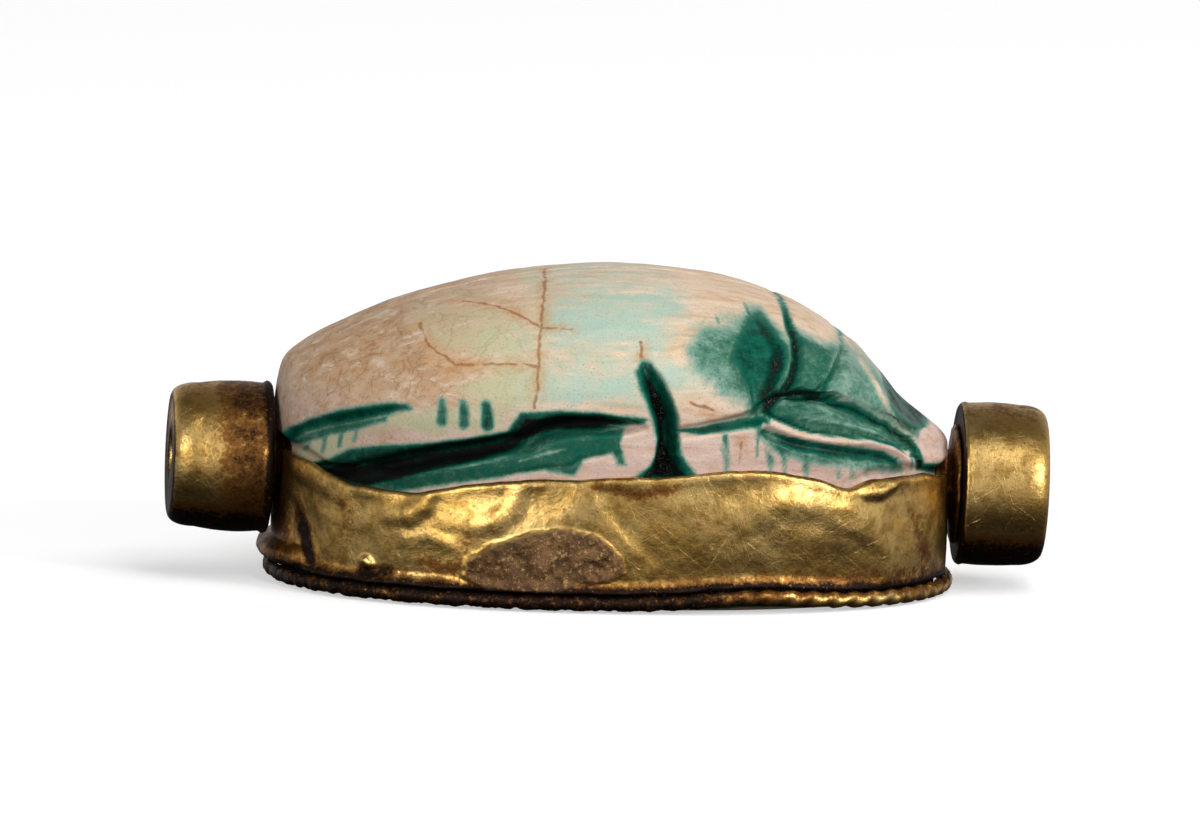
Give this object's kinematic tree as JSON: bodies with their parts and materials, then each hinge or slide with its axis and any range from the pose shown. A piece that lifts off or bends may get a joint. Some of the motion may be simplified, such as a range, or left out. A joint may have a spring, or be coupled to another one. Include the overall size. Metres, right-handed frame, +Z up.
{
  "type": "scarab seal",
  "caption": "Glazed steatite scarab seal, pierced lengthwise, in a hammered gold band with a wire foot and gold end collars for a swivel ring.",
  "frame": {"origin": "on the flat seal face, under the middle of the whole length with both collars", "axes": "+X towards the beetle's head, along the drilled hole; +Y across the beetle; +Z up, out of the beetle's back"},
  "size_m": [0.0258, 0.015, 0.0093],
  "materials": {
    "glazed_steatite": "worn cream steatite with green glaze left in the cuts, glossy",
    "gold": "high-carat gold, hammered, dented and scratched, with brown dirt in the joints"
  },
  "bodies": {
    "root": {"scarab": "glazed_steatite", "gold_band": "gold", "rim_wire": "gold", "tail_collar": "gold", "head_collar": "gold"}
  },
  "joints": []
}
